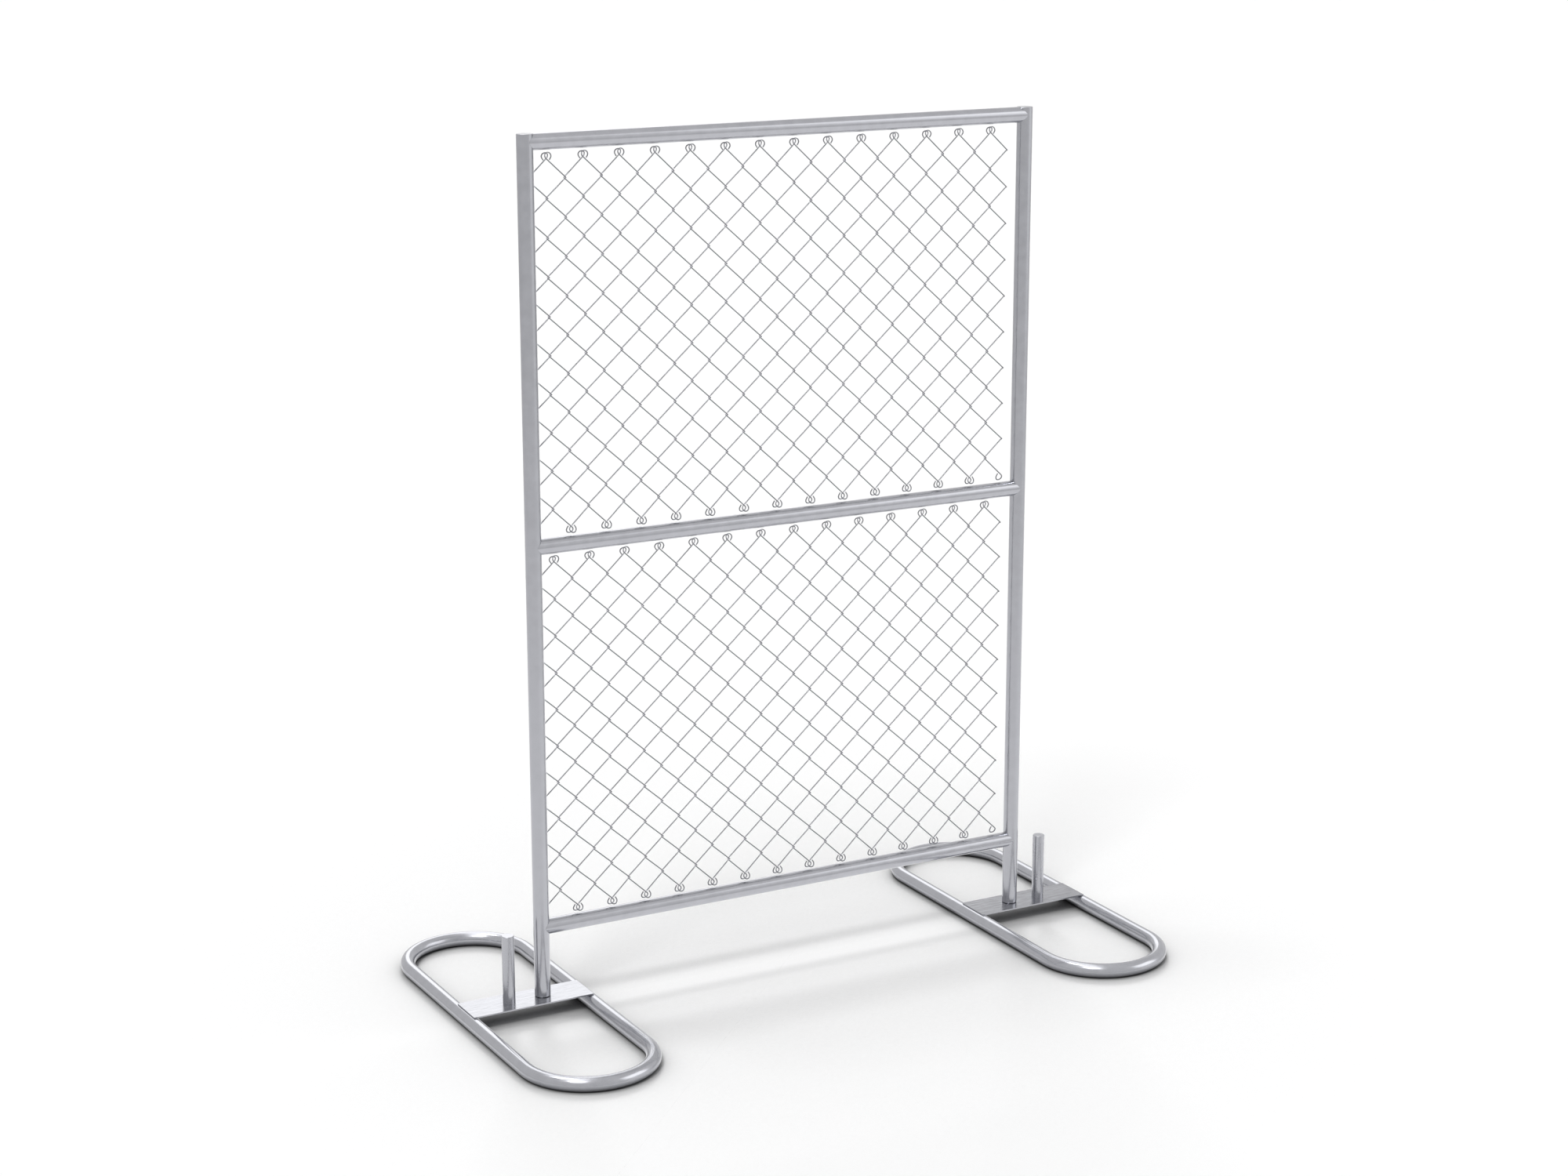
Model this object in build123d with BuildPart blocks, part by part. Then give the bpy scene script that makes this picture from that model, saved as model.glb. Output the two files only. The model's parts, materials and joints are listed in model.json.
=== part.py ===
from build123d import *
import math
import os

os.makedirs("parts", exist_ok=True)

# Driving sizes, in millimetres and degrees

# Welded frame: two posts and three rails of one tube
tube_od = 34.0
tube_wall = 3.4
post_spacing = 1185.0     # between the axes of the posts
frame_height = 1829.0     # from a post's foot to the top of its cap
bottom_rail_rise = 154.0  # from a post's foot to the axis of the bottom rail
cap_thickness = 3.0
cap_edge = 0.6            # chamfer round the top of a cap
foot_round = 2.0          # rounding of a post's foot
weld_gap = 0.2            # between a cut end and the tube that it is welded to

# Stands: a closed loop of tube, a plate across it and two upright stubs
loop_od = 31.8
loop_wall = 2.0
stand_length = 914.0
stand_width = 305.0
plate_width = 88.0
plate_thickness = 3.0
plate_overhang = 2.0      # past the crown of the loop at each end
stub_height = 150.0
stub_spacing = 78.0       # between the axes of the two stubs
stub_clearance = 0.25     # all round, between a stub and the bore of a post
stub_edge = 0.8           # chamfer round the top of a stub
seat_gap = 0.3            # between a post's foot and the plate

# Chain-link fabric: zigzag wires hooked together, with closed loops at top and bottom
wire_dia = 2.5
wire_gap = 0.5            # least room between wires that hook into each other
column_pitch = 80.9       # width of one diamond
half_row = 39.9           # half the height of one diamond
edge_bite = 11.2          # how far the outermost zigzag runs into the left post
right_room = 20.0         # least room between the last zigzag and the right post
rail_room = 3.0           # least room between a closed loop and a rail
knee_drop = 0.8           # half the fall of a wire as it passes through the fabric at a knee
knuckle_radius = 6.8      # bends of a closed loop
knuckle_turn = 87.0       # turn of each of its three bends
knuckle_lead = 1.4        # from the crossing to the first bend
knuckle_run = 0.2         # straight between two bends
knuckle_tail = 5.2        # straight after the last bend

# Sizes and places that follow from these

tube_radius = tube_od / 2
bore_radius = tube_radius - tube_wall
stub_radius = bore_radius - stub_clearance
left_axis = -post_spacing / 2

plate_top = loop_od + plate_thickness
foot_height = plate_top + seat_gap
post_top = foot_height + frame_height
top_rail_height = post_top - tube_radius
rail_pitch = (top_rail_height - foot_height - bottom_rail_rise) / 2
rail_heights = {
    "top_rail": top_rail_height,
    "mid_rail": top_rail_height - rail_pitch,
    "bottom_rail": top_rail_height - 2 * rail_pitch,
}

# Wires cross the fabric's mid plane with this pitch where they hook together
wire_pitch = wire_dia + wire_gap
knee_reach = wire_pitch / 2
half_depth = wire_dia
knee_radius = 0.8 * half_depth
half_column = column_pitch / 2

wire_lean = math.atan2(half_row - knee_drop, half_column + knee_reach)

# Depth of the four corners of a closed loop, so that two loops pass through each other
knuckle_sway = [1.06 * knee_reach, -2.56 * knee_reach, 0.0, 0.0]
knuckle_step = knuckle_radius * math.tan(math.radians(knuckle_turn / 2))
knuckle_rise = knuckle_lead * math.sin(wire_lean) + knuckle_radius * (1 + math.cos(wire_lean))
knuckle_height = knuckle_rise + knuckle_run + wire_dia / 2

fabric_width = post_spacing - tube_od + edge_bite - right_room
columns = math.floor(fabric_width / column_pitch)
least_reach = tube_radius + rail_room + knuckle_height
half_rows = 2 * math.floor(((rail_pitch - 2 * least_reach) / half_row - 1) / 2) + 1
rail_to_crossing = (rail_pitch - half_rows * half_row) / 2
first_column = left_axis + tube_radius - edge_bite + half_column


def write(part, name):
    """Label a finished piece and write it to its own file."""
    part.label = name
    export_step(part, f"parts/{name}.step")


# Posts and their caps

for side_name, side in (("left", -1), ("right", 1)):
    post_x = side * post_spacing / 2

    with BuildPart() as post:
        with BuildSketch(Plane.XY.offset(foot_height)):
            with Locations((post_x, 0)):
                Circle(tube_radius)
                Circle(bore_radius, mode=Mode.SUBTRACT)
        extrude(amount=frame_height - cap_thickness)
        foot_edges = post.edges().filter_by(GeomType.CIRCLE).group_by(Axis.Z)[0]
        fillet(foot_edges.sort_by(SortBy.RADIUS)[-1], radius=min(foot_round, 0.8 * tube_wall))
    write(post.part, f"{side_name}_post")

    with BuildPart() as post_cap:
        with BuildSketch(Plane.XY.offset(post_top - cap_thickness)):
            with Locations((post_x, 0)):
                Circle(tube_radius)
        extrude(amount=cap_thickness)
        chamfer(post_cap.edges().group_by(Axis.Z)[-1], length=cap_edge)
    write(post_cap.part, f"{side_name}_post_cap")


# Rails, with both ends coped to the round of the posts

for rail_name, rail_height in rail_heights.items():
    with BuildPart() as rail:
        with BuildSketch(Plane.YZ.offset(left_axis)):
            with Locations((0, rail_height)):
                Circle(tube_radius)
                Circle(bore_radius, mode=Mode.SUBTRACT)
        extrude(amount=post_spacing)
        with Locations((left_axis, 0, rail_height), (-left_axis, 0, rail_height)):
            Cylinder(tube_radius + weld_gap, 2 * tube_od, mode=Mode.SUBTRACT)
    write(rail.part, rail_name)


# Chain-link fabric

def knuckle(side, level, crossing):
    """Corners of the closed loop at one end of a wire, from the crossing outwards.

    side is 1 where the wire meets its right edge and -1 at its left edge, and level is 1 at
    the top of the fabric and -1 at the bottom.
    """
    heading = wire_lean
    lengths = [
        knuckle_lead + knuckle_step,
        2 * knuckle_step + knuckle_run,
        2 * knuckle_step + knuckle_run,
        knuckle_step + knuckle_tail,
    ]
    corners = []
    across = 0.0
    up = 0.0
    for length, depth in zip(lengths, knuckle_sway):
        across += length * math.cos(heading)
        up += length * math.sin(heading)
        corners.append(crossing + Vector(side * across, depth, level * up))
        heading += math.radians(knuckle_turn)
    return corners


def wire_route(bottom_loop):
    """Corners and bend radii of one zigzag wire, whose top crossing is the origin.

    The wire runs behind the fabric down to its left edge and in front down to its right edge,
    and it passes through the fabric at each knee.
    """
    right_edge = knee_reach
    left_edge = -half_column - knee_reach
    corners = knuckle(1, 1, Vector(0, 0, 0))[::-1]
    radii = [knuckle_radius] * 3
    for row in range(1, half_rows):
        edge = left_edge if row % 2 else right_edge
        depth = half_depth if row % 2 else -half_depth
        corners.append(Vector(edge, depth, knee_drop - row * half_row))
        corners.append(Vector(edge, -depth, -knee_drop - row * half_row))
        radii += [knee_radius] * 2
    bottom_crossing = Vector(-half_column, 0, -half_rows * half_row)
    if bottom_loop:
        corners += knuckle(-1, -1, bottom_crossing)
        radii += [knuckle_radius] * 3
    else:
        corners.append(bottom_crossing + Vector(0, half_depth, 0))
    return corners, radii


def wire_path(bottom_loop=True):
    """Centre line of one zigzag wire: straight runs joined by tangent arcs."""
    corners, radii = wire_route(bottom_loop)
    with BuildLine() as path:
        FilletPolyline(*corners, radius=radii)
    return path.wire()


def bent_wire(path):
    """Solid of one wire along its centre line."""
    with BuildPart() as wire:
        with BuildSketch(Plane(origin=path @ 0, z_dir=path % 0)):
            Circle(wire_dia / 2)
        sweep(path=path)
    return wire.part


full_path = wire_path()
full_wire = bent_wire(full_path)
edge_wire = bent_wire(wire_path(bottom_loop=False))

# The second wire of a pair is the first turned half round about the column that they share
with BuildPart() as wire_pair:
    with PolarLocations(0, 2):
        add(full_wire)

# At the left edge the first wire ends in the post, and what is left of it are welded lengths
with BuildPart() as edge_pair:
    add(full_wire, rotation=(0, 0, 180))
    add(edge_wire)
    with Locations((left_axis - first_column, 0, -half_rows * half_row / 2)):
        Cylinder(tube_radius + weld_gap, rail_pitch, mode=Mode.SUBTRACT)

for bay, upper_rail in (("upper", "top_rail"), ("lower", "mid_rail")):
    crossing_height = rail_heights[upper_rail] - rail_to_crossing
    for column in range(columns):
        with BuildPart() as placed_pair:
            with Locations((first_column + column * column_pitch, 0, crossing_height)):
                add(wire_pair.part if column else edge_pair.part)
        write(placed_pair.part, f"{bay}_wire_pair_{column + 1:02d}")


# Stands

loop_radius = loop_od / 2
loop_half_width = stand_width / 2 - loop_radius
loop_straight = stand_length - stand_width
plate_length = 2 * (loop_half_width + plate_overhang)

for side_name, side in (("left", -1), ("right", 1)):
    post_x = side * post_spacing / 2
    stand_x = post_x + side * stub_spacing / 2
    free_x = post_x + side * stub_spacing

    with BuildPart() as loop:
        with BuildSketch(Plane.XZ):
            left_run = (stand_x - loop_half_width, loop_radius)
            right_run = (stand_x + loop_half_width, loop_radius)
            with Locations(left_run, right_run):
                Circle(loop_radius)
                Circle(loop_radius - loop_wall, mode=Mode.SUBTRACT)
        extrude(amount=loop_straight / 2, both=True)
        for end in (-1, 1):
            end_y = end * loop_straight / 2
            with BuildSketch(Plane.XZ.offset(-end_y)):
                with Locations((stand_x + loop_half_width, loop_radius)):
                    Circle(loop_radius)
                    Circle(loop_radius - loop_wall, mode=Mode.SUBTRACT)
            revolve(axis=Axis((stand_x, end_y, 0), (0, 0, end)), revolution_arc=180)
    write(loop.part, f"{side_name}_stand_loop")

    with BuildPart() as plate:
        with BuildSketch(Plane.XY.offset(loop_od)):
            with Locations((stand_x, 0)):
                Rectangle(plate_length, plate_width)
        extrude(amount=plate_thickness)
    write(plate.part, f"{side_name}_stand_plate")

    for stub_name, stub_x in (("pivot", post_x), ("free", free_x)):
        with BuildPart() as stub:
            with BuildSketch(Plane.XY.offset(plate_top)):
                with Locations((stub_x, 0)):
                    Circle(stub_radius)
            extrude(amount=stub_height)
            chamfer(stub.edges().group_by(Axis.Z)[-1], length=stub_edge)
        write(stub.part, f"{side_name}_{stub_name}_stub")


# Least room between wires, measured on points of their centre lines at the top of the fabric

def points_along(path, spacing):
    """Points of a centre line in its first four half rows, each with its distance from the start."""
    points = []
    start = 0.0
    for edge in path.edges():
        count = max(2, math.ceil(edge.length / spacing))
        for step in range(count):
            point = edge @ (step / count)
            if point.Z > -4 * half_row:
                points.append((start + edge.length * step / count, tuple(point)))
        start += edge.length
    return points


def least_room(one, other, skip):
    """Least room between two wires, leaving out points less than skip apart along one wire."""
    nearest = min(
        math.dist(point, other_point)
        for place, point in one
        for other_place, other_point in other
        if abs(place - other_place) >= skip
    )
    return nearest - wire_dia


own_points = points_along(full_path, wire_dia / 4)
pair_points = [(place, (-x, -y, z)) for place, (x, y, z) in own_points]
print(f"least room of a wire to itself {least_room(own_points, own_points, 2 * knuckle_radius):.2f} mm")
print(f"least room between the two wires of a pair {least_room(own_points, pair_points, 0):.2f} mm")
print(f"{columns} columns, {half_rows} half rows, {rail_to_crossing:.2f} mm from rail to crossing")
print(f"post top at {post_top:.1f} mm, stubs {2 * stub_radius:.1f} mm round")
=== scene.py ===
import json
import math

import bpy
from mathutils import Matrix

# Camera of the photograph, in metres and degrees
PHOTO_WIDTH = 2000
FOCAL_PIXELS = 3833.0
SENSOR_WIDTH_MM = 36.0
CAMERA_PLACE = (-3.0366, -5.5043, 2.4793)
CAMERA_YAW = 28.852     # to the right of the Y axis
CAMERA_PITCH = 14.451   # below level

# Floor, in metres
FLOOR_SIZE = 240.0
FLOOR_WHITE = 0.96
CONTACT_REACH = 2.0           # how far off a piece still shades the floor
CONTACT_DEPTH = 0.9           # power of that shading
MIRROR_REACH = (0.01, 0.07)   # how close the floor has to be for the metal to mirror all or any of it

# Light: the world as the camera and the floor see it, and suns that light the floor or the metal
WHITE = 1.0
SKY_LEVEL = 0.40
SUNS = {
    # name: (metres along X and Y from the object for each metre up, strength, width in degrees, lit)
    "front_sun": ((-0.53, -0.44), 0.97, 13.0, "floor"),
    "low_sun": ((-0.80, -1.40), 0.42, 30.0, "floor"),
    "back_sun": ((-0.22, 0.27), 0.385, 8.0, "floor"),
    "strip_sun": ((0.54, 1.21), 1.17, 18.0, "floor"),
    "front_glint": ((-0.53, -0.44), 0.72, 7.0, "metal"),
    "back_glint": ((-0.22, 0.27), 0.40, 8.0, "metal"),
}

# Studio that the metal mirrors: grey above, darker just below eye level, pale further down.
# It is drawn on directions of length 1, and the edges of its lamps go from outside to inside.
UP = (0, 0, 1)
LEVEL_ONLY = (1, 1, 0)
STUDIO_ABOVE = 0.89
STUDIO_LEVEL = 0.76
STUDIO_BELOW = 1.17
LEVEL_RISE = (-0.13, -0.02)
BELOW_RISE = (-0.32, -0.15)
RIGHT_SIDE = (0.87, -0.50, 0)
RIGHT_EDGE = (0.50, 0.95)
RIGHT_GAIN = 1.05

# Strip lamp overhead, from the back right to the front left, as a band of directions
STRIP_LEVEL = 2.25
STRIP_ACROSS = (0.874, -0.487, 0)
STRIP_ALONG = (0.487, 0.874, 0)
STRIP_MIDDLE = -0.151
STRIP_EDGE = (0.195, 0.145)
STRIP_END = (-0.85, -0.70)
STRIP_RISE = (0.16, 0.27)

# Soft box at the front right
BOX_LEVEL = 2.3
BOX_SIDE = (0.829, -0.559, 0)
BOX_EDGE = (0.895, 0.957)
BOX_LOW = (0.05, 0.25)
BOX_HIGH = (0.68, 0.60)

# Faint glow just below eye level to the right
GLOW_LEVEL = 1.35
GLOW_SIDE = (0.875, -0.485, 0)
GLOW_EDGE = (0.91, 0.965)
GLOW_LOW = (-0.19, -0.09)
GLOW_HIGH = (-0.01, -0.05)

# Zinc finishes, with linear greys
TUBE_GREY = 0.42
WIRE_GREY = 0.20
PLATE_GREY = 0.355
ZINC_TINT = (0.97, 0.98, 1.045)
TUBE_ROUGHNESS = 0.22
BAR_ROUGHNESS = 0.27
WIRE_ROUGHNESS = 0.30
NOISE_MIDDLE = (0.3, 0.7)     # where most values of a noise lie

# Cloudy spangle and fine grain of the zinc, with spreads to each side and relief in metres
CLOUD_SCALE = 45.0
CLOUD_DETAIL = 3.0
CLOUD_GREY_SPREAD = 0.03      # share of the grey
CLOUD_ROUGHNESS_SPREAD = 0.02
GRAIN_SCALE = 900.0
GRAIN_DETAIL = 2.0
GRAIN_RELIEF = 0.00003
GRAIN_STRENGTH = 0.2

# Brush marks of the plates, drawn out along X
MARK_SCALE = 60.0
MARK_DETAIL = 4.0
MARK_STRETCH = (0.6, 6.0, 6.0)
MARK_GREY_SPREAD = 0.15       # share of the grey
MARK_ROUGHNESS = (0.16, 0.26)
MARK_RELIEF = 0.0004
MARK_STRENGTH = 0.35

# Painted light: wires are painted brighter where another piece is close, lifting the shade there, by
# how open their surroundings are
PAINTED_LIGHT_GAIN = 2.6
PAINTED_LIGHT_REACH = 0.006             # metres
PAINTED_LIGHT_OPENNESS = (0.70, 1.0)    # from the full gain to none


def new_material(name):
    """Empty node material, with its node tree and its shader."""
    material = bpy.data.materials.new(name)
    material.use_nodes = True
    tree = material.node_tree
    tree.nodes.clear()
    output = tree.nodes.new("ShaderNodeOutputMaterial")
    shader = tree.nodes.new("ShaderNodeBsdfPrincipled")
    tree.links.new(shader.outputs["BSDF"], output.inputs["Surface"])
    return material, tree, shader


def new_metal(name):
    """The same for a metal."""
    material, tree, shader = new_material(name)
    shader.inputs["Metallic"].default_value = 1.0
    return material, tree, shader


def math_node(tree, operation, first, second=0.0):
    """Sum, product or the like of two values, each a number or another node's result."""
    node = tree.nodes.new("ShaderNodeMath")
    node.operation = operation
    for socket, value in zip(node.inputs, (first, second)):
        if isinstance(value, (int, float)):
            socket.default_value = value
        else:
            tree.links.new(value, socket)
    return node.outputs["Value"]


def map_range(tree, value, low, high, start, end):
    """Node that takes a value from the range low to high over to the range start to end."""
    node = tree.nodes.new("ShaderNodeMapRange")
    node.inputs["From Min"].default_value = low
    node.inputs["From Max"].default_value = high
    node.inputs["To Min"].default_value = start
    node.inputs["To Max"].default_value = end
    tree.links.new(value, node.inputs["Value"])
    return node


def smooth_step(tree, value, low, high, start=0.0, end=1.0):
    """Soft step from start to end as the value goes from low to high."""
    node = map_range(tree, value, low, high, start, end)
    node.interpolation_type = "SMOOTHSTEP"
    return node.outputs["Result"]


def soft_edge(tree, value, outside, inside):
    """0 where the value is outside and 1 where it is inside, with a soft step between."""
    if outside < inside:
        return smooth_step(tree, value, outside, inside)
    return smooth_step(tree, value, inside, outside, 1.0, 0.0)


def noise(tree, scale, detail, stretch=(1, 1, 1)):
    """Noise in the object's own space, finer along the axes with more stretch."""
    place = tree.nodes.new("ShaderNodeTexCoord")
    mapping = tree.nodes.new("ShaderNodeMapping")
    mapping.inputs["Scale"].default_value = stretch
    texture = tree.nodes.new("ShaderNodeTexNoise")
    texture.inputs["Scale"].default_value = scale
    texture.inputs["Detail"].default_value = detail
    tree.links.new(place.outputs["Object"], mapping.inputs["Vector"])
    tree.links.new(mapping.outputs["Vector"], texture.inputs["Vector"])
    return texture.outputs["Fac"]


def span(tree, factor, low, high):
    """The middle range of a noise, spread from low to high."""
    return map_range(tree, factor, *NOISE_MIDDLE, low, high).outputs["Result"]


def grey_ramp(tree, factor, grey, spread):
    """Zinc grey, a little blue, from its spread below to its spread above by a noise."""
    ramp = tree.nodes.new("ShaderNodeValToRGB")
    levels = (grey * (1 - spread), grey * (1 + spread))
    for stop, level, place in zip(ramp.color_ramp.elements, levels, NOISE_MIDDLE):
        stop.position = place
        stop.color = (*[level * tint for tint in ZINC_TINT], 1)
    tree.links.new(factor, ramp.inputs["Fac"])
    return ramp.outputs["Color"]


def bump(tree, shader, height, relief, strength):
    """Fine relief on the shader's normal."""
    node = tree.nodes.new("ShaderNodeBump")
    node.inputs["Distance"].default_value = relief
    node.inputs["Strength"].default_value = strength
    tree.links.new(height, node.inputs["Height"])
    tree.links.new(node.outputs["Normal"], shader.inputs["Normal"])


def openness(tree, reach):
    """How open the surroundings are within a reach: 1 with nothing there, 0 all closed."""
    node = tree.nodes.new("ShaderNodeAmbientOcclusion")
    node.inputs["Distance"].default_value = reach
    return node.outputs["AO"]


def with_painted_light(tree, colour):
    """The colour, with painted light where another piece is close and shade falls."""
    gain = smooth_step(tree, openness(tree, PAINTED_LIGHT_REACH), *PAINTED_LIGHT_OPENNESS, PAINTED_LIGHT_GAIN, 1.0)
    scale = tree.nodes.new("ShaderNodeVectorMath")
    scale.operation = "SCALE"
    tree.links.new(colour, scale.inputs["Vector"])
    tree.links.new(gain, scale.inputs["Scale"])
    return scale.outputs["Vector"]


def galvanised(name, grey, roughness, painted_light=False):
    """Smooth bright zinc with faint cloudy spangle."""
    material, tree, shader = new_metal(name)
    cloud = noise(tree, CLOUD_SCALE, CLOUD_DETAIL)
    grain = noise(tree, GRAIN_SCALE, GRAIN_DETAIL)
    colour = grey_ramp(tree, cloud, grey, CLOUD_GREY_SPREAD)
    # painted light on the wires where another piece is close, lifting the shade there
    if painted_light:
        colour = with_painted_light(tree, colour)
    smoothest = roughness - CLOUD_ROUGHNESS_SPREAD
    roughest = roughness + CLOUD_ROUGHNESS_SPREAD
    tree.links.new(colour, shader.inputs["Base Color"])
    tree.links.new(span(tree, cloud, smoothest, roughest), shader.inputs["Roughness"])
    bump(tree, shader, grain, GRAIN_RELIEF, GRAIN_STRENGTH)
    return material


def brushed_plate(name):
    """Flat plate with fine brush marks along its length and a mottled sheen."""
    material, tree, shader = new_metal(name)
    marks = noise(tree, MARK_SCALE, MARK_DETAIL, MARK_STRETCH)
    colour = grey_ramp(tree, marks, PLATE_GREY, MARK_GREY_SPREAD)
    tree.links.new(colour, shader.inputs["Base Color"])
    tree.links.new(span(tree, marks, *MARK_ROUGHNESS), shader.inputs["Roughness"])
    bump(tree, shader, marks, MARK_RELIEF, MARK_STRENGTH)
    return material


def floor_material():
    """Plain pale matt floor, with painted shade where the object stands close over it."""
    material, tree, shader = new_material("pale_floor")
    shader.inputs["Roughness"].default_value = 1.0
    shader.inputs["Specular IOR Level"].default_value = 0.0
    # painted shade: the floor colour darkens by how closed its surroundings are
    painted_shade = math_node(tree, "POWER", openness(tree, CONTACT_REACH), CONTACT_DEPTH)
    level = math_node(tree, "MULTIPLY", painted_shade, FLOOR_WHITE)
    tree.links.new(level, shader.inputs["Base Color"])

    # The metal mirrors only the floor close by, and the studio beyond it
    path = tree.nodes.new("ShaderNodeLightPath")
    beyond = smooth_step(tree, path.outputs["Ray Length"], *MIRROR_REACH)
    unseen = math_node(tree, "MULTIPLY", beyond, path.outputs["Is Glossy Ray"])
    clear = tree.nodes.new("ShaderNodeBsdfTransparent")
    mix = tree.nodes.new("ShaderNodeMixShader")
    tree.links.new(unseen, mix.inputs["Fac"])
    tree.links.new(shader.outputs["BSDF"], mix.inputs[1])
    tree.links.new(clear.outputs["BSDF"], mix.inputs[2])
    tree.links.new(mix.outputs["Shader"], tree.nodes["Material Output"].inputs["Surface"])
    return material


def dress(frame):
    """Give each node the material of its slot."""
    finishes = {
        "galvanised_tube": galvanised("galvanised_tube_finish", TUBE_GREY, TUBE_ROUGHNESS),
        "galvanised_bar": galvanised("galvanised_bar_finish", TUBE_GREY, BAR_ROUGHNESS),
        # the wire finish has painted light where another piece is close
        "galvanised_wire": galvanised("galvanised_wire_finish", WIRE_GREY, WIRE_ROUGHNESS, painted_light=True),
        "plate_steel": brushed_plate("plate_steel_finish"),
    }
    for subpart in frame["record"]["subparts"]:
        materials = frame["nodes"][subpart["node"]].data.materials
        materials.clear()
        materials.append(finishes[subpart["material_slot"]])


def make_floor():
    """Wide flat floor under the object."""
    bpy.ops.mesh.primitive_plane_add(size=FLOOR_SIZE)
    floor = bpy.context.object
    floor.name = "floor"
    floor.data.materials.append(floor_material())


def add_sun(name, slope, strength, width, lit):
    """Soft sun on the floor or on the metal, by how far it stands along X and Y for each metre up."""
    light = bpy.data.lights.new(name, "SUN")
    light.energy = strength
    light.angle = math.radians(width)
    lamp = bpy.data.objects.new(name, light)
    bpy.context.scene.collection.objects.link(lamp)
    lamp.location = (*slope, 1.0)
    lamp.rotation_euler = (-lamp.location).to_track_quat("-Z", "Y").to_euler()
    lamp.visible_diffuse = lit == "floor"
    lamp.visible_glossy = lit == "metal"


def along(tree, direction, axis):
    """How far a direction goes along an axis."""
    dot = tree.nodes.new("ShaderNodeVectorMath")
    dot.operation = "DOT_PRODUCT"
    dot.inputs[1].default_value = axis
    tree.links.new(direction, dot.inputs[0])
    return dot.outputs["Value"]


def facing(tree, direction, side):
    """How nearly a direction, seen from above, points to a side: 1 straight at it, 0 square to it."""
    level = tree.nodes.new("ShaderNodeVectorMath")
    level.operation = "MULTIPLY"
    level.inputs[1].default_value = LEVEL_ONLY
    unit = tree.nodes.new("ShaderNodeVectorMath")
    unit.operation = "NORMALIZE"
    tree.links.new(direction, level.inputs[0])
    tree.links.new(level.outputs["Vector"], unit.inputs[0])
    return along(tree, unit.outputs["Vector"], side)


def overlaid(tree, level, brightness, *shares):
    """The level, with another brightness over it where all the shares are 1."""
    share = shares[0]
    for other in shares[1:]:
        share = math_node(tree, "MULTIPLY", share, other)
    mix = tree.nodes.new("ShaderNodeMix")
    mix.inputs["B"].default_value = brightness
    tree.links.new(share, mix.inputs["Factor"])
    tree.links.new(level, mix.inputs["A"])
    return mix.outputs["Result"]


def studio_level(tree):
    """Brightness of the studio in each direction, as the metal mirrors it."""
    direction = tree.nodes.new("ShaderNodeTexCoord").outputs["Generated"]
    rise = along(tree, direction, UP)
    upper = smooth_step(tree, rise, *LEVEL_RISE, STUDIO_LEVEL, STUDIO_ABOVE)
    lower = smooth_step(tree, rise, *BELOW_RISE, STUDIO_BELOW, STUDIO_LEVEL)
    level = math_node(tree, "MAXIMUM", upper, lower)
    right = smooth_step(tree, facing(tree, direction, RIGHT_SIDE), *RIGHT_EDGE, 1.0, RIGHT_GAIN)
    level = math_node(tree, "MULTIPLY", level, right)

    offset = math_node(tree, "SUBTRACT", along(tree, direction, STRIP_ACROSS), STRIP_MIDDLE)
    level = overlaid(
        tree, level, STRIP_LEVEL,
        soft_edge(tree, math_node(tree, "ABSOLUTE", offset), *STRIP_EDGE),
        soft_edge(tree, along(tree, direction, STRIP_ALONG), *STRIP_END),
        soft_edge(tree, rise, *STRIP_RISE),
    )
    level = overlaid(
        tree, level, GLOW_LEVEL,
        soft_edge(tree, facing(tree, direction, GLOW_SIDE), *GLOW_EDGE),
        soft_edge(tree, rise, *GLOW_LOW),
        soft_edge(tree, rise, *GLOW_HIGH),
    )
    return overlaid(
        tree, level, BOX_LEVEL,
        soft_edge(tree, facing(tree, direction, BOX_SIDE), *BOX_EDGE),
        soft_edge(tree, rise, *BOX_LOW),
        soft_edge(tree, rise, *BOX_HIGH),
    )


def set_world():
    """Even sky light, which the metal mirrors as a pale studio and the camera sees as white."""
    world = bpy.data.worlds.new("studio")
    bpy.context.scene.world = world
    world.use_nodes = True
    world.cycles.sampling_method = "NONE"    # a surface sees the world only along its own rays
    tree = world.node_tree
    background = tree.nodes["Background"]
    background.inputs["Color"].default_value = (1, 1, 1, 1)
    path = tree.nodes.new("ShaderNodeLightPath")
    level = overlaid(tree, studio_level(tree), SKY_LEVEL, path.outputs["Is Diffuse Ray"])
    level = overlaid(tree, level, WHITE, path.outputs["Is Camera Ray"])
    tree.links.new(level, background.inputs["Strength"])


def add_camera():
    """Camera with the place, aim and lens of the photograph's."""
    data = bpy.data.cameras.new("camera")
    data.sensor_fit = "HORIZONTAL"
    data.sensor_width = SENSOR_WIDTH_MM
    data.lens = FOCAL_PIXELS / PHOTO_WIDTH * SENSOR_WIDTH_MM
    data.clip_end = 2 * FLOOR_SIZE
    camera = bpy.data.objects.new("camera", data)
    bpy.context.scene.collection.objects.link(camera)
    camera.location = CAMERA_PLACE
    camera.rotation_euler = (math.radians(90 - CAMERA_PITCH), 0, math.radians(-CAMERA_YAW))
    bpy.context.scene.camera = camera


with open("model.json") as file:
    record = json.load(file)
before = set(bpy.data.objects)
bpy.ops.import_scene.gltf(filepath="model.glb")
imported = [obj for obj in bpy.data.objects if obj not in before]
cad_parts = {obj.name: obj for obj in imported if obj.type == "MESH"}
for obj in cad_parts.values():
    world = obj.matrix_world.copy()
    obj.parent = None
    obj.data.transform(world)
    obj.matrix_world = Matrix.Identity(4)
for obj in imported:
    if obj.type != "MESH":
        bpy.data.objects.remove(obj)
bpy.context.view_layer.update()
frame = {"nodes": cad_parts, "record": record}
bpy.context.scene.view_settings.view_transform = "Standard"
dress(frame)
make_floor()
set_world()
for name, (slope, strength, width, lit) in SUNS.items():
    add_sun(name, slope, strength, width, lit)
add_camera()
